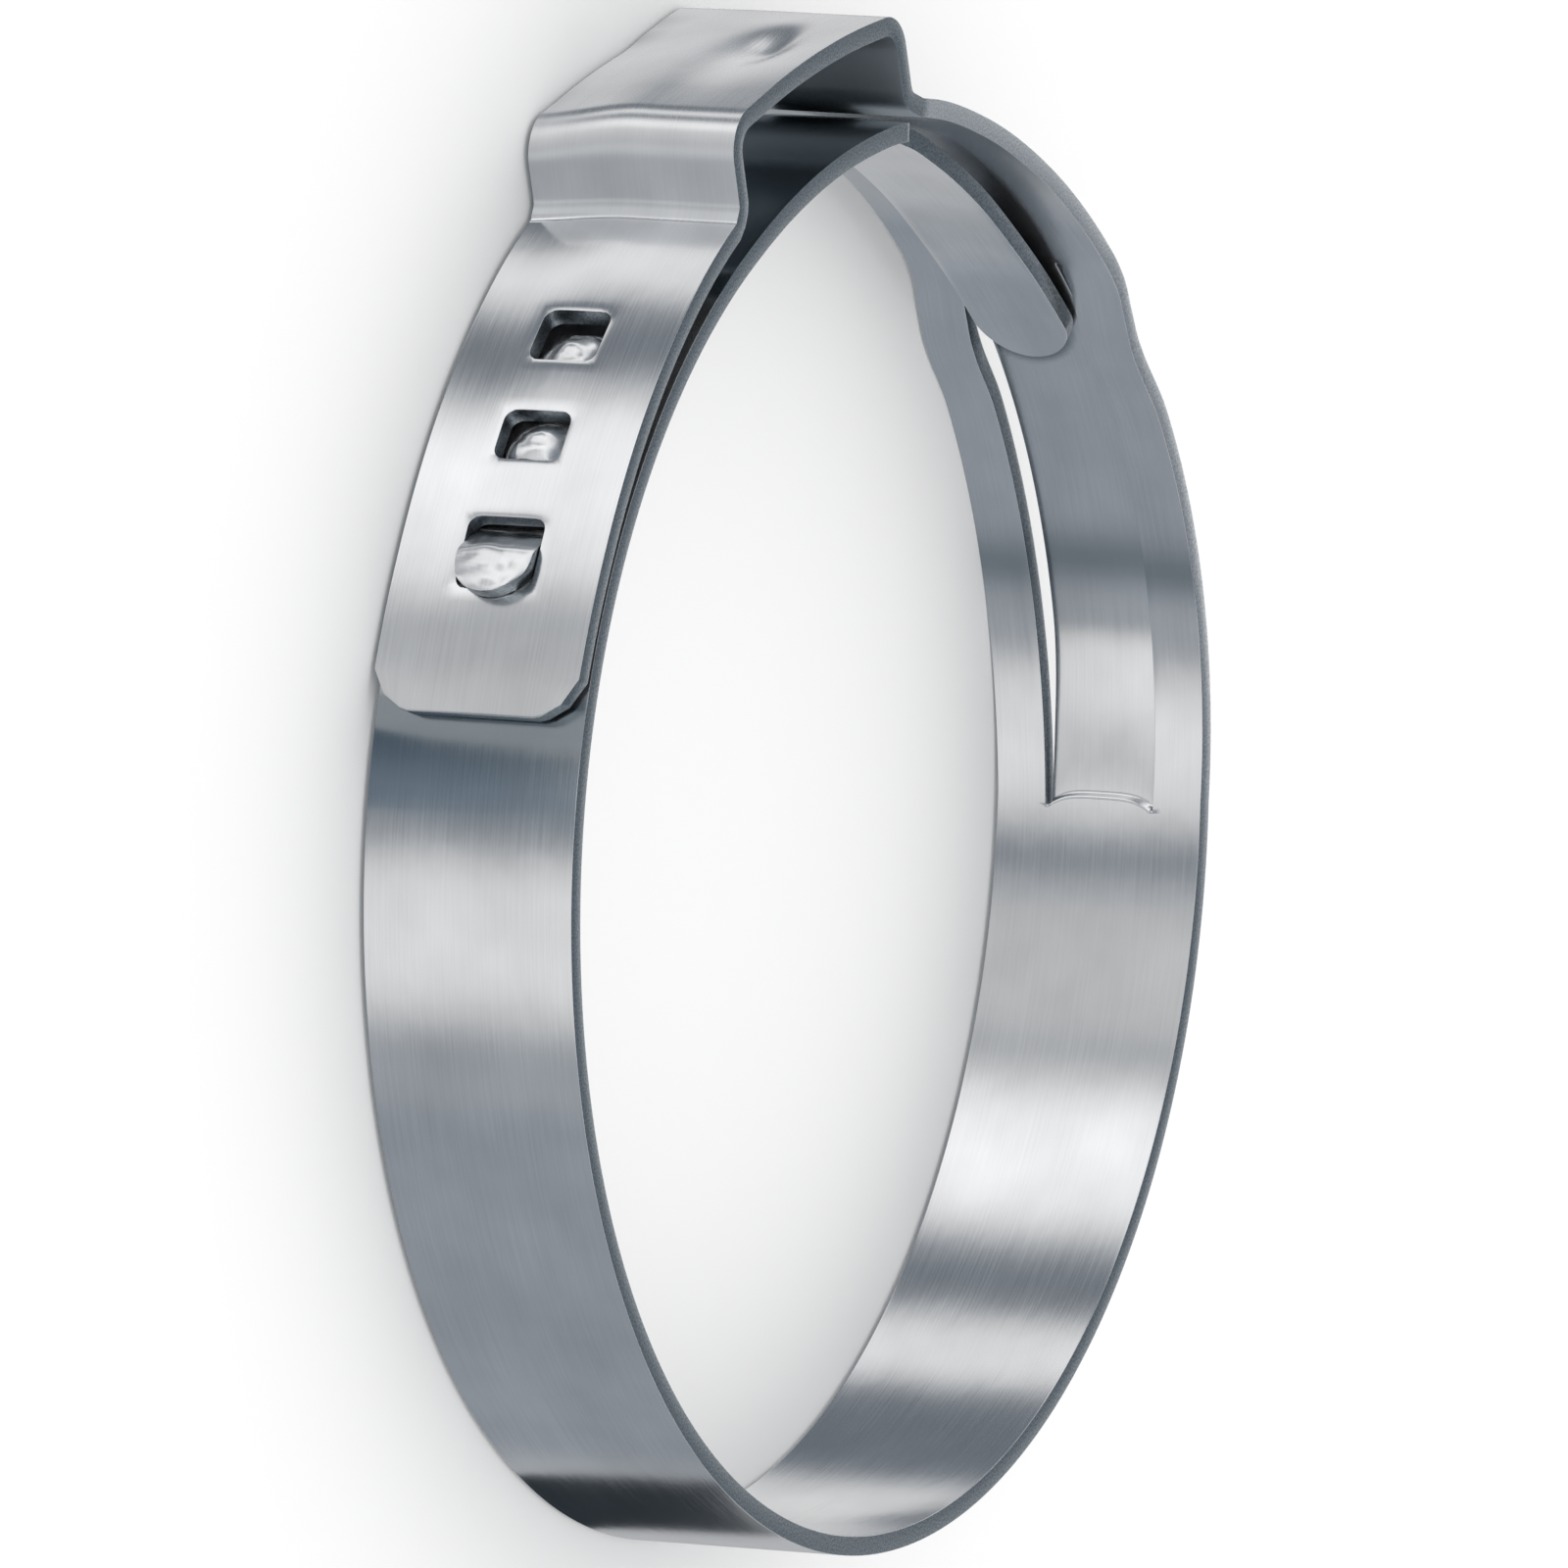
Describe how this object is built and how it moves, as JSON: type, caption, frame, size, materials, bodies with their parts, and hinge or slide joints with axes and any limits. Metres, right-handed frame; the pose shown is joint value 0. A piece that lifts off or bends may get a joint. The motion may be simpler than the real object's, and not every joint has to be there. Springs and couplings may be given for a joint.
{
  "type": "ear hose clamp",
  "caption": "Stepless ear hose clamp of wound stainless steel strip, with a crimp ear, windows and hooks that lock it, and a tongue that slides in a lanced channel.",
  "frame": {"origin": "on the bore axis, at the middle of the strip's width", "axes": "+Z along the bore axis, +Y out through the middle of the ear, +X towards the tongue's side"},
  "size_m": [0.0439, 0.047, 0.0074],
  "materials": {
    "clamp_band": "satin cold-rolled stainless steel with sheared edges"
  },
  "bodies": {
    "root": {"clamp_band": "clamp_band"}
  },
  "joints": []
}
